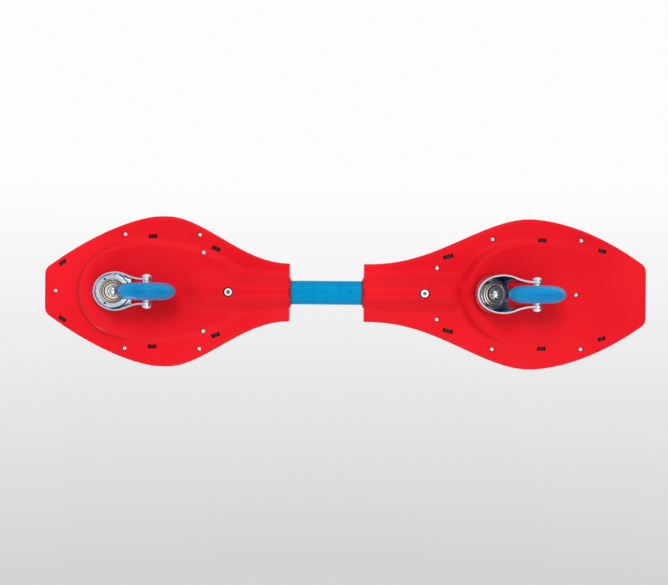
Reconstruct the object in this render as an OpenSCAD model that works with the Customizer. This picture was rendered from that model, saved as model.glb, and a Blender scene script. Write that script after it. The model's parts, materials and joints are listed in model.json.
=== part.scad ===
// Caster board: two footboards that twist against each other on a sprung tube,
// each with one inclined, free-swivelling caster and a single wheel under it.
// Nose towards +X, wheels on the ground plane z = 0, origin under the middle of the board.

/* [Board] */
// Length of the front half, from its neck end to the nose
front_l = 356; // [340:1:375]
// Length of the rear half, from its neck end to the tail
rear_l = 410; // [395:1:430]
// Gap between the two neck ends, bridged by the tube
neck_gap = 106; // [95:1:125]
// Width across the widest point of each half
deck_w = 214.5; // [205:0.5:230]
// Width of each neck at its end
neck_w = 82; // [76:1:90]
// Width across the blunt nose, corners included
nose_w = 64; // [58:1:76]
// Width across the blunt tail, corners included
tail_w = 83; // [74:1:92]
// Distance from the front neck end to the widest point
front_flank = 186; // [180:1:200]
// Distance from the rear neck end to the widest point
rear_flank = 236; // [228:1:250]
// Radius of the corners of the nose and tail
tip_r = 6; // [4:0.5:8]

/* [Deck section] */
// Height of the rim above the centre of the caster seat
rim_h = 40; // [38:0.5:46]
// How far the nose and tail kick up
kick_h = 22; // [16:0.5:28]
// How far the rim drops from the footboard to the neck end
neck_drop = 4; // [2:0.5:6]
// Height of the crown along the middle of the neck
crown_h = 10; // [8:0.5:14]
// Depth of the hollow that the foot stands in
dish_h = 5; // [3:0.5:7]
// Height of the side wall at the footboard
side_h = 19; // [17:0.5:21]
// Height of the side wall at the neck end
neck_side_h = 22; // [20:0.5:26]
// Fall of the underside from its edge to its flat middle
bowl_h = 8.5; // [6:0.5:10]
// Width of the flat middle under the front half
front_belly_w = 126; // [112:1:134]
// Width of the flat middle under the rear half
rear_belly_w = 134; // [118:1:142]
// How far the flat middle reaches ahead of its widest point
belly_ahead = 90; // [82:1:96]
// How far the flat middle reaches behind its widest point
belly_behind = 142; // [130:1:148]
// Width of the slope round the flat middle
slope_w = 14; // [11:0.5:18]
// Width of the rim left round the traction plate
lip_w = 5; // [4.5:0.25:6.5]
// Thickness of the traction plate
tread_t = 3.5; // [3:0.25:4.5]
// Distance from a neck end to the traction plate
tread_start = 62; // [56:1:70]

/* [Torsion joint] */
// Distance from the rim down to the tube's axis
tube_drop = 26; // [25:0.5:28]
// Radius of the ridge moulded round the tube
ridge_r = 24; // [23:0.5:26]
// Outside diameter of the pivot tube
tube_d = 28; // [26:0.5:30]
// Wall of the pivot tube
tube_t = 2; // [1.5:0.25:3]
// Outside diameter of the moulded sleeve
sleeve_d = 33.4; // [32:0.2:35]
// Wall of the flanged bushes
bush_t = 3; // [2.5:0.25:4]
// Diameter of the bush flanges
flange_d = 42; // [40:0.5:46]
// Thickness of the bush flanges
flange_t = 2.5; // [2:0.25:4]
// Length of the bushes inside the necks
bush_l = 42; // [36:1:48]
// Side of the square torsion bar
bar_w = 9; // [8:0.5:10]
// Depth to which the bar enters each anchor block
bar_grip = 16; // [12:0.5:16.5]
// Diameter of the anchor blocks
anchor_d = 28; // [26:0.5:29]
// Length of the anchor blocks
anchor_l = 42; // [38:1:46]
// Distance from a neck end to its bolt
neck_bolt_u = 83; // [80:1:88]
// Diameter of the neck bolts
neck_bolt_d = 6; // [5:0.5:7]

/* [Casters] */
// Tilt of the swivel axes from the vertical
tilt = 22; // [18:0.5:26]
// Distance of the wheel's axle behind the swivel axis
trail = 39.25; // [38.5:0.25:44]
// Diameter of the wheels
wheel_d = 76; // [72:0.5:78]
// Width of the wheels
wheel_w = 24; // [22:0.5:25]
// Gap between the tyre and the fork's top
tyre_gap = 9; // [3:0.25:12]
// How far the front wheel stands ahead of the widest point
front_wheel_shift = 3; // [-3:1:8]
// How far the rear wheel stands ahead of the widest point
rear_wheel_shift = 5; // [1:1:11]
// Outside radius of the fork's round front
fork_r = 26.5; // [26:0.25:28]
// Thickness of the fork's sheet
fork_t = 2.25; // [2:0.25:3]
// Gap between a wheel face and a fork leg
leg_gap = 3.5; // [3:0.25:4.5]
// Radius of the fork's ends round the axle
leg_end_r = 8.5; // [8:0.25:11]
// Diameter of the kingpin
kingpin_d = 8; // [7:0.25:9]
// Diameter of the axle
axle_d = 8; // [7:0.25:8]
// Diameter of the balls above the fork
upper_ball_d = 5.2; // [4.6:0.1:5.6]
// Diameter of the balls below the fork
lower_ball_d = 3.6; // [3.4:0.1:4.2]
// Radius of the lower race cup
cup_r = 16.75; // [16:0.25:18]
// Radius of the caster's seat plate
seat_r = 21.5; // [20.5:0.25:23]
// Thickness of the caster's seat plate
seat_plate_t = 3; // [2.5:0.25:4]
// Outside diameter of a wheel bearing
bearing_d = 22; // [21:0.25:23]
// Width of a wheel bearing
bearing_w = 7; // [6:0.25:8]

/* [Fasteners] */
// Shank diameter of the traction plate's screws
screw_d = 3.5; // [3:0.1:4]
// Head diameter of the traction plate's screws
screw_head_d = 6.2; // [6:0.1:7.4]
// Length of a snap hook's window
slot_l = 11.8; // [11:0.2:14]
// Width of a snap hook's window
slot_w = 5.6; // [5.5:0.1:6.5]

/* [Hidden] */
PIECES = ["deck_body", "traction_plate", "plate_screws", "neck_bush", "anchor_block",
    "neck_bolt", "neck_washer", "seat_plate", "kingpin", "race_cup", "kingpin_washer",
    "kingpin_nut", "fork", "upper_balls", "lower_balls", "axle_bolt", "axle_nut",
    "axle_spacers", "bearing_inner_rings", "bearing_spacer", "bearing_balls",
    "bearing_outer_rings", "bearing_shields", "wheel_core", "tyre"];

// Clearances
slip = 0.05;       // pieces seated in one another on the same body
run = 0.06;        // a shaft turning in its bush
free = 0.3;        // faces that move past each other
eps = 1;           // how far a cut runs past a face
step = 0.02;       // width over which a moulded face steps up or down

// The two halves: 0 is the front, 1 is the rear
board_l = front_l + neck_gap + rear_l;
half_l = [front_l, rear_l];
flank_l = [front_flank, rear_flank];
tip_w = [nose_w, tail_w];
flank_skew = [1, 1.2];
flank_bulge = [0.16, 0];
tip_power = [1.5, 1.72];
neck_x = [board_l / 2 - front_l, rear_l - board_l / 2];
away = [1, -1];    // the way along X from a neck end to its tip

// Caster heights, in a frame on the swivel axis at the underside of the fork's top
wheel_r = wheel_d / 2;
axle_drop = wheel_r + tyre_gap;
ball_gap = 0.15;
seat_plate_z = fork_t + upper_ball_d + 2 * ball_gap;
seat_local = seat_plate_z + seat_plate_t;
seat_sink = 0.5;
pad_local = seat_local - seat_sink;
pivot_z = wheel_r + axle_drop * cos(tilt) - trail * sin(tilt);
pivot_run = axle_drop * sin(tilt) + trail * cos(tilt);
wheel_x = [neck_x[0] + front_flank + front_wheel_shift,
           neck_x[1] - rear_flank + rear_wheel_shift];
pivot_x = [for (h = [0, 1]) wheel_x[h] + pivot_run];
pad_x = [for (h = [0, 1]) pivot_x[h] + pad_local * sin(tilt)];
pad_z = pivot_z + pad_local * cos(tilt);

// Deck heights and blends
rim_z = pad_z + rim_h;
tube_z = rim_z - tube_drop;
neck_run = 100;
kick_delay = 20;
foot_w = 72;
ridge_foot = 10;
ridge_l = 120;
ridge_fade = 35;
edge_r = 5;
lip_r = 2;
tip_lip = max(lip_w, tip_r + 1);
belly_w = [front_belly_w, rear_belly_w];
belly_back = [43, 62];
belly_power = [2.05, 2.1];
behind_power = [2, 2.5];
seat_reach = 32;
toe_run = 34;
floor_blend = 6;
flange_fall = 3;
toe_round = 70;
collar_w = 1.6;
side_thin = 1;

function clamp01(t) = min(1, max(0, t));
function ease(t) = let (c = clamp01(t)) c * c * (3 - 2 * c);
function lerp(a, b, t) = a + (b - a) * t;
function x_at(h, u) = neck_x[h] + away[h] * u;

// Half the width of a footboard at distance u from its neck end
function half_w(h, u) =
    let (past = max(0, u - flank_l[h]) / (half_l[h] - flank_l[h]),
         share = max(0, u) / flank_l[h],
         w = u < flank_l[h]
            ? lerp(neck_w, deck_w, ease(pow(share, flank_skew[h])
                                        * (1 + flank_bulge[h] * (share - 0.5)))) / 2
            : lerp(deck_w, tip_w[h], pow(past, tip_power[h])) / 2,
         c = clamp01((u - half_l[h] + tip_r) / tip_r))
    w - tip_r * (1 - sqrt(1 - c * c));

// Slope of the outline from the middle line, and the outline moved inwards by d
function edge_angle(h, u) = let (s = min(u, half_l[h] - tip_r - 2))
    atan((half_w(h, s + 1) - half_w(h, s - 1)) / 2);
function inset_w(h, u, d) = half_w(h, u) - d / cos(edge_angle(h, u));

// Height of the rim, and of the surface inside it
function kick(h, u) = pow(clamp01((u - flank_l[h] - kick_delay)
                                  / (half_l[h] - flank_l[h] - kick_delay)), 2);
function rim_top(h, u) = rim_z - neck_drop * (1 - ease(u / neck_run)) + kick_h * kick(h, u);
function dish(u) = lerp(-crown_h, dish_h, ease(u / neck_run));
function top_z(h, u, y) =
    let (flat = min(foot_w / 2, half_w(h, u) * 0.6) * ease(u / neck_run),
         out = max(0, abs(y) - flat) / (half_w(h, u) - flat))
    rim_top(h, u) - dish(u) * (1 - min(1, out * out));
function ledge_z(h, u, y) = top_z(h, u, y) - tread_t;

// Height of the underside: a bowl, the wedge that carries the caster, and the tube's ridge
function edge_z(h, u) = rim_top(h, u)
    - lerp(neck_side_h, side_h - side_thin * kick(h, u), ease(u / neck_run));
function floor_z(h, u) = edge_z(h, u) - bowl_h * ease(u / neck_run) * (1 - kick(h, u));
function wedge_z(h, u, y) =
    let (ahead = x_at(h, u) - pad_x[h],
         past = ahead + y * y / (2 * toe_round) - seat_reach,
         plane = pad_z - ahead * tan(tilt))
    past < 0 ? plane : lerp(plane, max(plane, floor_z(h, u) + floor_blend), ease(past / toe_run));
function blend_min(a, b, k) = let (t = clamp01((1 + (b - a) / k) / 2)) lerp(b, a, t) - k * t * (1 - t);
function ridge_w(h, u) = min(ridge_r + ridge_foot, half_w(h, u) - edge_r - 4);
function ridge_share(h, u, y) = (1 + cos(180 * clamp01(abs(y) / ridge_w(h, u)))) / 2
    * (1 - ease((u - ridge_l) / ridge_fade));

// The flat middle is a leaf, blunt ahead of the caster and drawn out behind it:
// how far a place lies outside the leaf, and the half width of the leaf grown by d
function belly_at(h, u) = x_at(h, u) - pad_x[h] + belly_back[h];
function belly_out(h, u, y) =
    let (v = belly_at(h, u), n = v > 0 ? belly_power[h] : behind_power[h],
         reach = v > 0 ? belly_ahead : belly_behind,
         size = pow(pow(abs(v) / reach, n) + pow(2 * abs(y) / belly_w[h], n), 1 / n))
    size <= 1 ? 0 : norm([v, y]) * (1 - 1 / size);
function belly_half(h, u, d) =
    let (v = belly_at(h, u), n = v > 0 ? belly_power[h] : behind_power[h],
         t = abs(v) / ((v > 0 ? belly_ahead : belly_behind) + d))
    t >= 1 ? 0 : (belly_w[h] / 2 + d) * pow(1 - pow(t, n), 1 / n);
function flange_z(h, u, y) = edge_z(h, u) - flange_fall * (1 - kick(h, u)) * ease(u / neck_run)
    * clamp01((half_w(h, u) - abs(y)) / 30);
function bowl_z(h, u, y) =
    lerp(blend_min(floor_z(h, u), wedge_z(h, u, y), floor_blend), flange_z(h, u, y),
         ease(belly_out(h, u, y) / slope_w));
function ridged_z(h, u, y) = let (z = bowl_z(h, u, y))
    lerp(z, blend_min(z, tube_z - ridge_r, floor_blend), ridge_share(h, u, y));
function under_z(h, u, y) =
    let (across = max(0, abs(y) - half_w(h, u) + edge_r),
         along = max(0, u - half_l[h] + edge_r),
         out = min(edge_r, norm([across, along])))
    ridged_z(h, u, y) + edge_r - sqrt(edge_r * edge_r - out * out);
function rim_round_z(h, u, y) =
    let (out = min(lip_r, max(0, abs(y) - half_w(h, u) + lip_r)))
    top_z(h, u, y) - lip_r + sqrt(lip_r * lip_r - out * out);

// The recess for the traction plate, inside the rim
function recess_w(h, u) = inset_w(h, u, lip_w);
function in_recess(h, u, y) = u > tread_start + step / 2 && u < half_l[h] - tip_lip - step / 2
    && abs(y) < recess_w(h, u) - step / 2;
function over_z(h, u, y) = in_recess(h, u, y) ? ledge_z(h, u, y) : rim_round_z(h, u, y);

// Stations along a half, and points across it
function steps(from, to, n) = [for (i = [0:n]) lerp(from, to, i / n)];
function mirrored(side) = concat([for (i = [len(side) - 1:-1:1]) -side[i]], side);
station = 14;
function spread(from, to, gap) = steps(from, to, max(1, ceil((to - from) / gap)));
function toe_u(h) = let (u = abs(pad_x[h] - neck_x[h]))
    h == 0 ? [u + seat_reach - 20, u + seat_reach + toe_run + 2]
           : [u - seat_reach - toe_run - 2, u - seat_reach + 20];
function recess_us(h, gap) =
    let (z = toe_u(h), from = tread_start + step, to = half_l[h] - tip_lip - step,
         us = concat(spread(from, z[0], station), spread(z[0], z[1], 5.7), spread(z[1], to, station)))
    [for (i = [0:len(us) - 1]) if (i == 0 || us[i] > us[i - 1] + 0.5)
        i == 0 ? us[i] - step + gap : i == len(us) - 1 ? us[i] + step - gap : us[i]];
function deck_us(h) = concat(steps(0, tread_start, 5), recess_us(h, step),
    [half_l[h] - tip_lip],
    [for (a = [0, 35, 65, 90]) half_l[h] - tip_r * (1 - sin(a))]);
function under_ys(h, u) =
    let (w = half_w(h, u), in = w - edge_r,
         b = min(max(belly_half(h, u, 0), 0.45 * in), 0.62 * in),
         f = min(max(belly_half(h, u, slope_w), 0.68 * in), 0.88 * in))
    mirrored(concat([for (t = [0:6]) b * t / 6], [for (t = [1:5]) lerp(b, f, t / 5)],
                    [(f + in) / 2, in], [for (t = [0.45, 0.8, 1]) in + edge_r * t]));
deck_shares = [0, 0.11, 0.22, 0.33, 0.44, 0.52, 0.6, 0.67, 0.74, 0.87];
plate_shares = [0, 0.22, 0.44, 0.6, 0.74, 0.87];
function over_ys(h, u) =
    let (w = half_w(h, u), r = recess_w(h, u))
    mirrored(concat([for (t = deck_shares) t * r], [r - step, r, (r + w - lip_r) / 2],
                    [for (t = [1, 0.6, 0.25, 0]) w - lip_r * t]));
function plate_ys(h, u) = let (r = recess_w(h, u))
    mirrored(concat([for (t = plate_shares) t * r], [r - free]));

// A solid between two surfaces over the plan of a half
module slab(h, us, low_ys, high_ys, low, high) {
    rows = len(us);
    cols = len(low_ys(us[0]));
    points = concat([for (u = us, y = low_ys(u)) [x_at(h, u), y, low(u, y)]],
                    [for (u = us, y = high_ys(u)) [x_at(h, u), y, high(u, y)]]);
    function at(s, i, j) = (s * rows + i) * cols + j;
    function quad(a, b, c, d) = [[a, b, c], [a, c, d]];
    last = cols - 1;
    end = rows - 1;
    function turned(j, a, b, c, d) = (j < last / 2) == (h == 1) ? quad(b, c, d, a) : quad(a, b, c, d);
    quads = concat(
        [for (i = [0:end - 1], j = [0:last - 1])
            each [turned(j, at(0, i, j), at(0, i + 1, j), at(0, i + 1, j + 1), at(0, i, j + 1)),
                  turned(j, at(1, i, j), at(1, i, j + 1), at(1, i + 1, j + 1), at(1, i + 1, j))]],
        [for (i = [0:end - 1])
            each [quad(at(0, i, 0), at(1, i, 0), at(1, i + 1, 0), at(0, i + 1, 0)),
                  quad(at(0, i, last), at(0, i + 1, last), at(1, i + 1, last), at(1, i, last))]],
        [for (j = [0:last - 1])
            each [quad(at(0, 0, j), at(0, 0, j + 1), at(1, 0, j + 1), at(1, 0, j)),
                  quad(at(0, end, j), at(1, end, j), at(1, end, j + 1), at(0, end, j + 1))]]);
    polyhedron(points, [for (q = quads, f = q) h == 0 ? f : [f[2], f[1], f[0]]]);
}

// Places of the plate's screws and hooks: what the distance is taken from (0 the neck end,
// 1 the tip, 2 the widest point), the distance, the inset from the edge, the share of the
// edge's angle that a hook is turned by, and how much longer than the others its window is
screw_rows = [
    [[2, 47.5, 14.3], [2, -58.5, 11.2], [2, -64.7, 31], [1, -18, undef]],
    [[2, -54, 16.5], [2, 72.8, 14.5], [2, -132.7, 23.3], [2, 63.8, undef]]];
hook_rows = [
    [[2, 7.2, 28.5, 0, 0], [2, -82, 16.7, 0.75, 0], [1, -29.6, 8.8, 1, 0]],
    [[2, -117, 14.3, 0.6, 2.4], [2, 15.2, 29.6, 0, 0], [1, -71, 16.7, 0.4, 0]]];
function row_u(h, row) = [0, half_l[h], flank_l[h]][row[0]] + row[1];
function screw_spots(h) = [for (row = screw_rows[h], side = is_undef(row[2]) ? [0] : [-1, 1])
    let (u = row_u(h, row)) [u, side == 0 ? 0 : side * inset_w(h, u, row[2])]];
function hook_spots(h) = [for (row = hook_rows[h], side = [-1, 1])
    let (u = row_u(h, row))
        [u, side * inset_w(h, u, row[2]), side * row[3] * edge_angle(h, u), slot_l + row[4]]];

// Screw joint: head recess below, shank, and a boss hanging from the plate above
head_sink = 3.2;
head_h = 2;
boss_r = 4.5;
boss_h = 6;
function spot_under(h, s) = under_z(h, s[0], s[1]);
function spot_ledge(h, s) = ledge_z(h, s[0], s[1]);
function seat_under(h, s) = spot_under(h, s) + head_sink;
function boss_drop(h, s) = min(boss_h, spot_ledge(h, s) - seat_under(h, s) - 2);
module at_spot(h, s, z) translate([x_at(h, s[0]), s[1], z]) children();

// Snap hook: a window through the moulding, wider below so that the barb can catch
hook_t = 3;
barb_t = 1.8;
hook_off = (hook_t + 4 * slip - slot_w) / 2;
function hook_mid(h, s) = lerp(spot_under(h, s), spot_ledge(h, s), 0.5);
module hook_frame(h, s, z) at_spot(h, s, z) rotate(s[2] * away[h]) children();
module block(size, z) translate([-size[0] / 2, -size[1] / 2, z]) cube([size[0], size[1], size[2]]);

module deck_cuts(h) {
    for (s = screw_spots(h)) {
        at_spot(h, s, spot_under(h, s) - 12) cylinder(h = 12 + head_sink, d = screw_head_d + 1);
        at_spot(h, s, spot_under(h, s)) cylinder(h = 60, d = screw_d + 2 * slip);
        at_spot(h, s, spot_ledge(h, s) - boss_drop(h, s) - slip) cylinder(h = 20, r = boss_r + slip);
    }
    for (s = hook_spots(h)) {
        side = sign(s[1]);
        hook_frame(h, s, hook_mid(h, s))
            block([s[3], slot_w, 30], -30);
        hook_frame(h, s, hook_mid(h, s))
            translate([0, side * hook_off, 0])
                block([s[3] - 2, hook_t + 4 * slip, 30], -eps);
    }
}
module along_tube(h, u, l, r) translate([x_at(h, u), 0, tube_z])
    rotate([0, 90 * away[h], 0]) cylinder(h = l, r = r);
module on_pivot(h) translate([pivot_x[h], 0, pivot_z]) rotate([0, tilt, 0]) children();

neck_bolt_head_h = 5;
neck_washer_t = 1.5;
neck_washer_r = 6.25;
neck_recess_z = tube_z - ridge_r + neck_bolt_head_h + neck_washer_t + 0.5;
kingpin_head_z = seat_local + 22;
module deck_body(h) color([0.62, 0.11, 0.10]) difference() {
    union() {
        slab(h, deck_us(h), function (u) under_ys(h, u), function (u) over_ys(h, u),
             function (u, y) under_z(h, u, y), function (u, y) over_z(h, u, y));
        on_pivot(h) translate([0, 0, pad_local - collar_w / 2])
            cylinder(h = 9, r = seat_r + free + collar_w);
    }
    deck_cuts(h);
    along_tube(h, -eps, bush_l + eps, tube_d / 2 + bush_t + slip);
    along_tube(h, bush_l - eps, neck_bolt_u + anchor_l / 2 - bush_l + eps + free, anchor_d / 2 + slip);
    translate([x_at(h, neck_bolt_u), 0, tube_z - ridge_r - 20])
        cylinder(h = neck_recess_z - tube_z + ridge_r + 20, r = neck_washer_r + 0.8);
    translate([x_at(h, neck_bolt_u), 0, tube_z - ridge_r])
        cylinder(h = ridge_r, d = neck_bolt_d + 4 * slip);
    on_pivot(h) translate([0, 0, seat_local - 12]) cylinder(h = 12, r = seat_r + free);
    on_pivot(h) translate([0, 0, seat_local - eps]) cylinder(h = 60, d = kingpin_d + 2 * slip);
    on_pivot(h) translate([0, 0, kingpin_head_z]) cylinder(h = 60, d = 2.1 * kingpin_d);
}

module traction_plate(h) color([0.09, 0.09, 0.10]) difference() {
    union() {
        slab(h, recess_us(h, free),
             function (u) plate_ys(h, u), function (u) plate_ys(h, u),
             function (u, y) ledge_z(h, u, y) + slip, function (u, y) top_z(h, u, y));
        for (s = screw_spots(h))
            at_spot(h, s, spot_ledge(h, s) - boss_drop(h, s))
                cylinder(h = boss_drop(h, s) + tread_t / 2, r = boss_r);
        for (s = hook_spots(h)) {
            side = sign(s[1]);
            bottom = spot_under(h, s) + 2;
            middle = hook_mid(h, s);
            hook_frame(h, s, 0) translate([0, side * hook_off, 0]) {
                block([s[3] - 3, hook_t, spot_ledge(h, s) + tread_t / 2 - bottom], bottom);
                translate([0, side * barb_t / 2, 0])
                    block([s[3] - 3, hook_t + barb_t, middle - slip - bottom], bottom);
            }
        }
    }
    for (s = screw_spots(h))
        at_spot(h, s, spot_ledge(h, s) - boss_drop(h, s) - eps)
            cylinder(h = boss_drop(h, s) + eps + 1.2, d = screw_d + 2 * slip);
    foot = [neck_run + 4, flank_l[h] + kick_delay - 4];
    translate([min(x_at(h, foot[0]), x_at(h, foot[1])), -foot_w / 2 + 2, rim_z - dish_h - slip])
        cube([foot[1] - foot[0], foot_w - 4, 10]);
}

module plate_screws(h) color([0.80, 0.80, 0.80])
    for (s = screw_spots(h)) {
        at_spot(h, s, seat_under(h, s) - head_h) cylinder(h = head_h, d = screw_head_d);
        at_spot(h, s, seat_under(h, s) - eps)
            cylinder(h = spot_ledge(h, s) + 1 - seat_under(h, s) + eps, d = screw_d);
    }

// Torsion joint
seal_t = 1.2;
tube_reach = neck_bolt_u - anchor_l / 2 - 4;
module ring(r_in, r_out, l) difference() {
    cylinder(h = l, r = r_out);
    translate([0, 0, -eps]) cylinder(h = l + 2 * eps, r = r_in);
}
module on_tube(x) translate([x, 0, tube_z]) rotate([0, 90, 0]) children();
module pivot_tube() color([0.70, 0.71, 0.73]) on_tube(x_at(1, tube_reach))
    ring(tube_d / 2 - tube_t, tube_d / 2, x_at(0, tube_reach) - x_at(1, tube_reach));
sleeve_x = [neck_x[1] + flange_t + free + seal_t, neck_x[0] - flange_t - seal_t];
module tube_sleeve() color([0.13, 0.35, 0.70]) on_tube(sleeve_x[0])
    ring(tube_d / 2 + slip, sleeve_d / 2, sleeve_x[1] - sleeve_x[0]);
module seal_rings() color([0.05, 0.05, 0.05]) {
    on_tube(sleeve_x[0] - seal_t) ring(tube_d / 2 + slip, sleeve_d / 2 + 0.6, seal_t - slip);
    on_tube(sleeve_x[1] + slip) ring(tube_d / 2 + slip, sleeve_d / 2 + 0.6, seal_t - 2 * slip);
}
module neck_bush(h) color([0.55, 0.10, 0.09])
    translate([neck_x[h], 0, tube_z]) rotate([0, 90 * away[h], 0]) difference() {
        union() {
            translate([0, 0, -flange_t]) cylinder(h = flange_t - slip, d = flange_d);
            translate([0, 0, -flange_t]) cylinder(h = bush_l + flange_t - free, d = tube_d + 2 * bush_t);
        }
        translate([0, 0, -flange_t - eps])
            cylinder(h = bush_l + flange_t + 2 * eps, d = tube_d + 2 * (h == 0 ? slip : run));
    }
module torsion_bar() color([0.30, 0.30, 0.32])
    translate([x_at(1, neck_bolt_u - anchor_l / 2 + bar_grip), -bar_w / 2, tube_z - bar_w / 2])
        cube([x_at(0, 0) - x_at(1, 0) + 2 * (neck_bolt_u - anchor_l / 2 + bar_grip), bar_w, bar_w]);
module anchor_block(h) color([0.55, 0.56, 0.58]) difference() {
    along_tube(h, neck_bolt_u - anchor_l / 2, anchor_l, anchor_d / 2);
    translate([x_at(h, neck_bolt_u - anchor_l / 2 + bar_grip / 2), 0, tube_z])
        block([bar_grip + 2 * eps, bar_w + 2 * slip, bar_w + 2 * slip], -bar_w / 2 - slip);
    translate([x_at(h, neck_bolt_u), 0, tube_z - anchor_d / 2 - eps])
        cylinder(h = anchor_d * 0.75 + eps, d = neck_bolt_d + 2 * slip);
}
module neck_bolt(h) color([0.75, 0.75, 0.76])
    translate([x_at(h, neck_bolt_u), 0, neck_recess_z - neck_washer_t - slip]) difference() {
        union() {
            translate([0, 0, -neck_bolt_head_h]) cylinder(h = neck_bolt_head_h, d = neck_bolt_d * 1.7);
            cylinder(h = tube_z + anchor_d / 4 - neck_recess_z, d = neck_bolt_d);
        }
        translate([0, 0, -neck_bolt_head_h - eps])
            cylinder(h = 3 + eps, d = neck_bolt_d * 0.95, $fn = 6);
    }
module neck_washer(h) color([0.80, 0.80, 0.80])
    translate([x_at(h, neck_bolt_u), 0, neck_recess_z - neck_washer_t])
        ring(neck_bolt_d / 2 + 2 * slip, neck_washer_r, neck_washer_t - slip);

// Swivel bearing, in the pivot frame
upper_pitch_r = 15;
upper_n = floor(360 / (2 * asin((upper_ball_d / 2 + 0.2) / upper_pitch_r)));
cup_t = 1.5;
cup_in_z = -lower_ball_d - 2 * ball_gap;
cup_low_z = cup_in_z - 1.6;
lower_pitch_r = cup_r - cup_t - lower_ball_d / 2 - ball_gap;
lower_n = floor(360 / (2 * asin((lower_ball_d / 2 + 0.2) / lower_pitch_r)));
pin_washer_t = 1.2;
pin_washer_r = 11.5;
nut_z = cup_low_z - pin_washer_t - 2 * slip;
nut_r = 0.95 * kingpin_d;
nut_h = 3;
nut_dome_h = 2.8;
module ball_ring(n, pitch_r, z, d) for (i = [0:n - 1])
    rotate(i * 360 / n) translate([pitch_r, 0, z]) sphere(d = d, $fn = 32);
module seat_plate(h) color([0.78, 0.79, 0.80]) on_pivot(h) rotate_extrude($fn = 96)
    polygon([[kingpin_d / 2 + slip, seat_plate_z], [seat_r - 1.7, seat_plate_z],
             [seat_r - 1.7, fork_t + 0.8], [seat_r, fork_t + 0.8],
             [seat_r, seat_local - slip], [kingpin_d / 2 + slip, seat_local - slip]]);
module kingpin(h) color([0.75, 0.76, 0.78]) on_pivot(h) {
    translate([0, 0, nut_z - nut_h]) cylinder(h = kingpin_head_z - nut_z + nut_h + 1, d = kingpin_d);
    translate([0, 0, kingpin_head_z + slip]) cylinder(h = 5, d = kingpin_d * 1.9);
}
module race_cup(h) color([0.86, 0.87, 0.88]) on_pivot(h) rotate_extrude($fn = 96)
    polygon([[kingpin_d / 2 + slip, cup_in_z], [cup_r - cup_t, cup_in_z], [cup_r - cup_t, -0.7],
             [cup_r, -0.7], [cup_r, cup_in_z - 0.2], [cup_r - 3, cup_low_z],
             [kingpin_d / 2 + slip, cup_low_z]]);
module kingpin_washer(h) color([0.84, 0.85, 0.86]) on_pivot(h)
    translate([0, 0, cup_low_z - pin_washer_t - slip])
        ring(kingpin_d / 2 + slip, pin_washer_r, pin_washer_t);
module kingpin_nut(h) color([0.88, 0.88, 0.90]) on_pivot(h) difference() {
    union() {
        translate([0, 0, nut_z - nut_h]) cylinder(h = nut_h, r = nut_r, $fn = 6);
        translate([0, 0, nut_z - nut_h + eps]) mirror([0, 0, 1]) dome_cap(0.8 * nut_r, nut_dome_h + eps);
    }
    translate([0, 0, nut_z - nut_h - slip]) cylinder(h = nut_h + eps, r = kingpin_d / 2 + slip);
}
module upper_balls(h) color([0.70, 0.70, 0.72]) on_pivot(h)
    ball_ring(upper_n, upper_pitch_r, seat_plate_z - ball_gap - upper_ball_d / 2, upper_ball_d);
module lower_balls(h) color([0.70, 0.70, 0.72]) on_pivot(h)
    ball_ring(lower_n, lower_pitch_r, cup_in_z + ball_gap + lower_ball_d / 2, lower_ball_d);

// Fork: a round front wall that runs into two legs, closed by a top
leg_y = wheel_w / 2 + leg_gap + fork_t;
knee_x = -0.62 * trail;
knee_r = 35;
leg_back = trail + leg_end_r + eps;
skirt_front = 3;
web_l = 3;
web_w = 4;
fork_back = 24;
leg_start = let (k = [knee_x, leg_y]) atan2(k[1], k[0]) - acos(fork_r / norm(k));
function spoke(r, a) = r * [cos(a), sin(a)];
function leg_side(d) =
    let (c = [(fork_r + knee_r - (leg_y + knee_r) * sin(leg_start)) / cos(leg_start), leg_y + knee_r])
    concat([for (i = [0:6]) c + spoke(knee_r + d, lerp(leg_start + 180, 270, i / 6))],
           [[-leg_back, leg_y - d]]);
function flip(points) = [for (i = [len(points) - 1:-1:0]) [points[i][0], -points[i][1]]];
module fork_plan(d, z, l) translate([0, 0, z]) linear_extrude(l)
    polygon(concat([for (i = [-20:20]) spoke(fork_r - d, leg_start * i / 20)],
                   leg_side(d), flip(leg_side(d))));
axle_at = [-trail, -axle_drop];
function tangent(p, c, r, side) = let (v = p - c, a = atan2(v[1], v[0]) + side * acos(r / norm(v)))
    [c + spoke(r, a), a];
module fork_side() {
    back = [-fork_back, fork_t];
    nose = [fork_r + eps, -skirt_front];
    b = tangent(back, axle_at, leg_end_r, 1);
    f = tangent(nose, axle_at, leg_end_r, -1);
    from = b[1];
    to = f[1] < from ? f[1] + 360 : f[1];
    polygon(concat([[fork_r + eps, fork_t], back], [for (i = [0:16]) axle_at + spoke(leg_end_r, lerp(from, to, i / 16))], [nose]));
}
module axle_frame(h) on_pivot(h) translate([axle_at[0], 0, axle_at[1]]) rotate([90, 0, 0]) children();
module fork(h) color([0.86, 0.87, 0.88]) on_pivot(h) {
    fork_shell();
    translate([fork_r - fork_t - web_l, -web_w / 2, -skirt_front + 0.8])
        cube([web_l + fork_t / 2, web_w, skirt_front]);
}
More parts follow.
